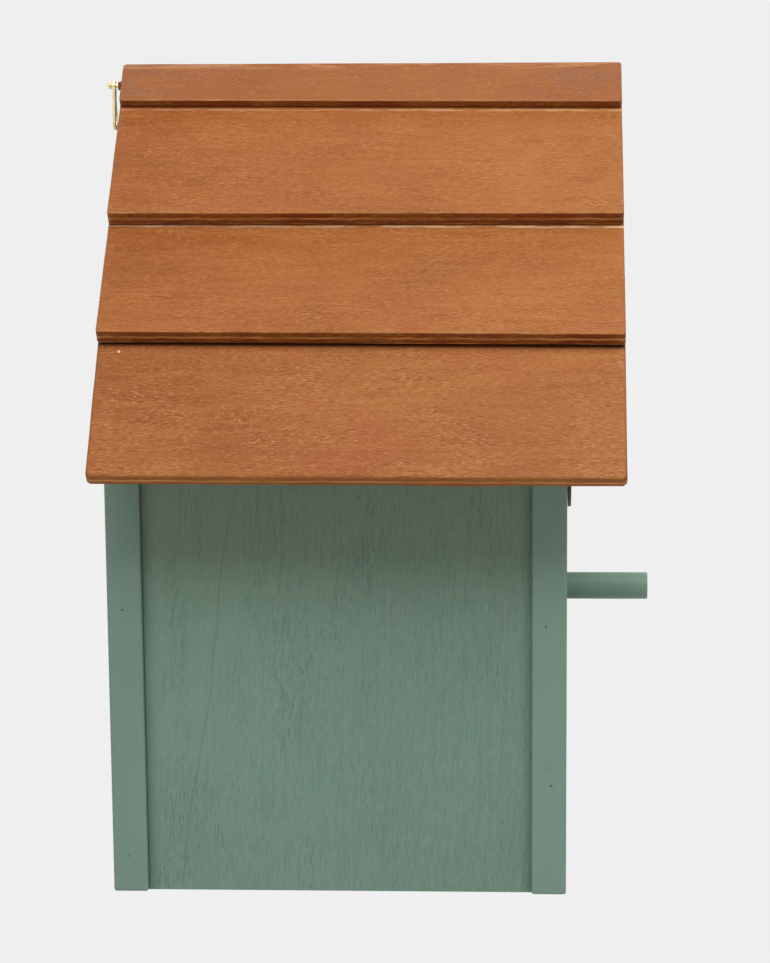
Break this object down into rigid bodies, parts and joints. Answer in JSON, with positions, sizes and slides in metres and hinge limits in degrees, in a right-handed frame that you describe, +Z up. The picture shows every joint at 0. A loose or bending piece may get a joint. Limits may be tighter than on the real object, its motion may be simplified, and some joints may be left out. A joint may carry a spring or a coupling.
{
  "type": "birdhouse",
  "caption": "Gable-roofed wooden birdhouse with lapped roof boards, a round entrance, a dowel perch, a slide-out floor and a brass hanging tab.",
  "frame": {"origin": "centre of the bounding box at the bottom edge of the walls", "axes": "+Z up, -Y towards the front with the entrance and perch, +X to the right seen from the front"},
  "size_m": [0.2506, 0.1968, 0.2812],
  "materials": {
    "green_paint": "satin grey-green paint over wood",
    "brown_stain": "warm brown stain on plywood",
    "bare_ply": "bare plywood",
    "black_paint": "satin black",
    "brass": "bright brass",
    "steel": "plain steel"
  },
  "bodies": {
    "house": {"front_gable": "green_paint", "back_gable": "green_paint", "side_panel_left": "green_paint", "side_panel_right": "green_paint", "perch": "green_paint", "ridge_beam": "brown_stain", "eave_course_left": "brown_stain", "middle_course_left": "brown_stain", "upper_course_left": "brown_stain", "eave_course_right": "brown_stain", "middle_course_right": "brown_stain", "upper_course_right": "brown_stain", "ridge_cap_left": "brown_stain", "ridge_cap_right": "brown_stain", "floor_runner_left": "bare_ply", "floor_runner_right": "bare_ply", "entrance_ring": "black_paint", "entrance_ring_screw_1": "black_paint", "entrance_ring_screw_2": "black_paint", "entrance_ring_screw_3": "black_paint", "entrance_ring_screw_4": "black_paint", "hanger_pin": "brass", "side_brad_left_front_high": "steel", "side_brad_left_front_low": "steel", "side_brad_left_back_high": "steel", "side_brad_left_back_low": "steel", "side_brad_right_front_high": "steel", "side_brad_right_front_low": "steel", "side_brad_right_back_high": "steel", "side_brad_right_back_low": "steel", "roof_brad_left_eave_front": "steel", "roof_brad_left_eave_back": "steel", "roof_brad_left_middle_front": "steel", "roof_brad_left_middle_back": "steel", "roof_brad_left_upper_front": "steel", "roof_brad_left_upper_back": "steel", "roof_brad_right_eave_front": "steel", "roof_brad_right_eave_back": "steel", "roof_brad_right_middle_front": "steel", "roof_brad_right_middle_back": "steel", "roof_brad_right_upper_front": "steel", "roof_brad_right_upper_back": "steel", "cap_brad_left_1": "steel", "cap_brad_left_2": "steel", "cap_brad_right_1": "steel", "cap_brad_right_2": "steel"},
    "hanger_tab": {"hanger_tab": "brass"},
    "floor": {"floor_panel": "bare_ply"}
  },
  "joints": [
    {"name": "hanger_swing", "type": "hinge", "parent": "house", "child": "hanger_tab", "pos_m": [0, 0.096, 0.27356], "axis": [0, 1, 0], "continuous": true},
    {"name": "floor_slide", "type": "slide", "parent": "house", "child": "floor", "axis": [0, 1, 0], "range_m": [0, 0.14]}
  ]
}
